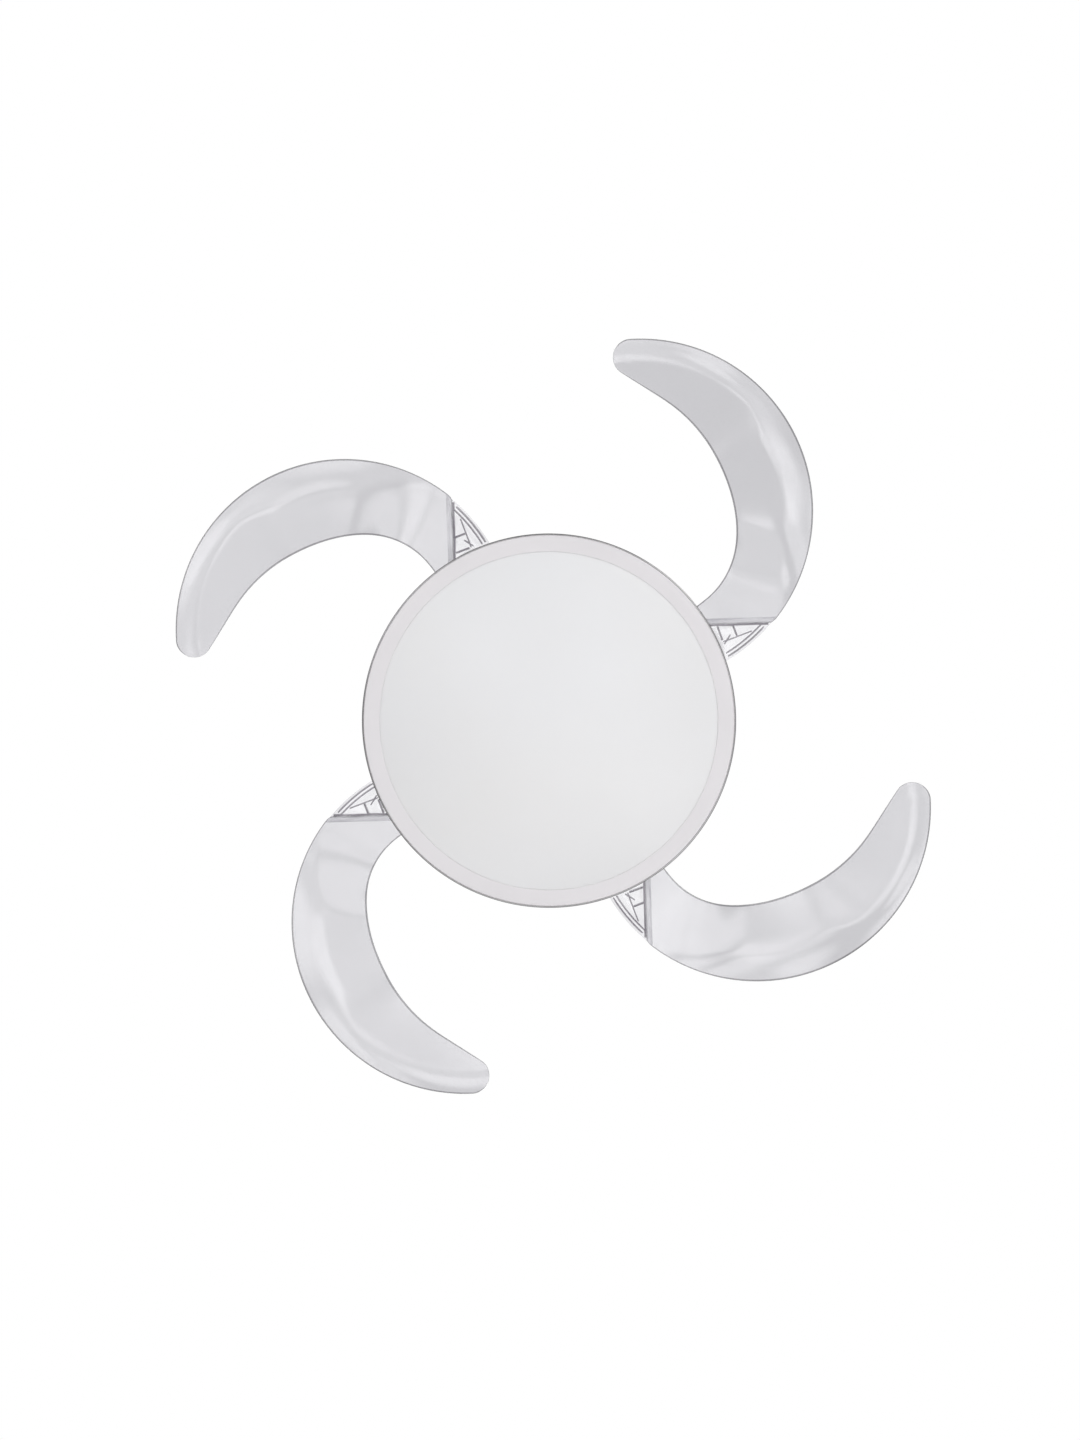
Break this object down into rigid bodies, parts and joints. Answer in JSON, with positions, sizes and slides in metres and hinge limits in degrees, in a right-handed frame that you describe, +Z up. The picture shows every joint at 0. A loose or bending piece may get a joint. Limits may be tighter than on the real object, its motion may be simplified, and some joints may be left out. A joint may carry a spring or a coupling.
{
  "type": "retractable blade ceiling fan",
  "caption": "Ceiling fan with clear crescent blades that fold on geared arms above a round opal light, hung from a ball and downrod.",
  "frame": {"origin": "centre of the hanger bracket's mounting face, on the ceiling", "axes": "+Z up into the ceiling along the downrod; +X through the bracket's two slots and the first blade's pivot"},
  "size_m": [1.0236, 1.0236, 0.342],
  "materials": {
    "white_paint": "smooth satin white",
    "white_alloy": "white powder coat",
    "white_plastic": "smooth white moulding",
    "clear_blade": "clear polycarbonate, polished",
    "clear_root": "clear polycarbonate with ribs",
    "opal": "opal acrylic, satin",
    "steel": "zinc plated",
    "polished": "polished",
    "dark_trim": "polished, dark anodised",
    "alloy": "die cast",
    "bronze": "sintered bronze",
    "copper": "enamelled winding wire",
    "magnet": "coated ferrite",
    "dark_plastic": "black moulding",
    "rubber": "soft black rubber",
    "board": "white solder mask"
  },
  "bodies": {
    "ceiling_mount": {"hanger_bracket": "steel", "canopy": "white_alloy", "canopy_screws": "steel", "receiver_box": "dark_plastic", "terminal_block": "white_plastic"},
    "ball_seat": {"ball_seat": "dark_plastic"},
    "downrod": {"hanger_ball": "dark_plastic", "ball_pin": "steel", "downrod": "white_paint", "coupler": "steel", "coupler_pin": "steel", "coupler_clip": "polished", "coupler_set_screws": "magnet", "coupler_cover": "white_alloy", "motor_cover": "white_alloy", "cover_screws": "steel", "motor_shaft": "steel", "stator_core": "steel", "stator_windings": "copper", "shaft_nut": "polished", "pan_bracket": "steel", "light_pan": "white_alloy", "pan_screws": "steel", "trim_ring": "dark_trim", "led_board": "board", "led_driver": "white_plastic", "diffuser": "opal", "bezel_ring": "white_plastic", "bezel_clips": "polished"},
    "rotor": {"rotor_housing_upper": "alloy", "rotor_housing_lower": "alloy", "rotor_ring": "steel", "rotor_magnets": "magnet", "bearings": "polished", "housing_screws": "steel", "carrier_plate": "white_alloy", "carrier_screws": "steel", "pivot_pins": "steel", "pivot_bushes": "bronze", "pivot_clips": "polished", "stop_bumpers": "rubber", "return_springs": "polished", "ring_guides": "white_plastic"},
    "sync_ring": {"sync_ring": "steel"},
    "blade_1": {"blade_panel_1": "clear_blade", "blade_root_1": "clear_root", "blade_arm_1": "alloy", "blade_screws_1": "steel"},
    "blade_2": {"blade_panel_2": "clear_blade", "blade_root_2": "clear_root", "blade_arm_2": "alloy", "blade_screws_2": "steel"},
    "blade_3": {"blade_panel_3": "clear_blade", "blade_root_3": "clear_root", "blade_arm_3": "alloy", "blade_screws_3": "steel"},
    "blade_4": {"blade_panel_4": "clear_blade", "blade_root_4": "clear_root", "blade_arm_4": "alloy", "blade_screws_4": "steel"}
  },
  "joints": [
    {"name": "tilt_x", "type": "hinge", "parent": "ceiling_mount", "child": "ball_seat", "pos_m": [0, 0, -0.052], "axis": [1, 0, 0], "range_deg": [-12, 12]},
    {"name": "tilt_y", "type": "hinge", "parent": "ball_seat", "child": "downrod", "pos_m": [0, 0, -0.052], "axis": [0, 1, 0], "range_deg": [-12, 12]},
    {"name": "spin", "type": "hinge", "parent": "downrod", "child": "rotor", "pos_m": [0, 0, -0.268], "axis": [0, 0, 1], "continuous": true},
    {"name": "blade_1_fold", "type": "hinge", "parent": "rotor", "child": "blade_1", "pos_m": [0.236, 0, -0.268], "axis": [0, 0, 1], "range_deg": [-92.8, 0], "deforming": ["return_springs"]},
    {"name": "blade_2_fold", "type": "hinge", "parent": "rotor", "child": "blade_2", "pos_m": [0, 0.236, -0.268], "axis": [0, 0, 1], "range_deg": [-92.8, 0]},
    {"name": "blade_3_fold", "type": "hinge", "parent": "rotor", "child": "blade_3", "pos_m": [-0.236, 0, -0.268], "axis": [0, 0, 1], "range_deg": [-92.8, 0]},
    {"name": "blade_4_fold", "type": "hinge", "parent": "rotor", "child": "blade_4", "pos_m": [0, -0.236, -0.268], "axis": [0, 0, 1], "range_deg": [-92.8, 0]},
    {"name": "sync_turn", "type": "hinge", "parent": "rotor", "child": "sync_ring", "pos_m": [0, 0, -0.268], "axis": [0, 0, 1], "range_deg": [0, 31.8]}
  ],
  "couplings": [
    {"joint": "blade_2_fold", "follows": "blade_1_fold", "ratio": 1},
    {"joint": "blade_3_fold", "follows": "blade_1_fold", "ratio": 1},
    {"joint": "blade_4_fold", "follows": "blade_1_fold", "ratio": 1},
    {"joint": "sync_turn", "follows": "blade_1_fold", "ratio": -0.34091}
  ]
}
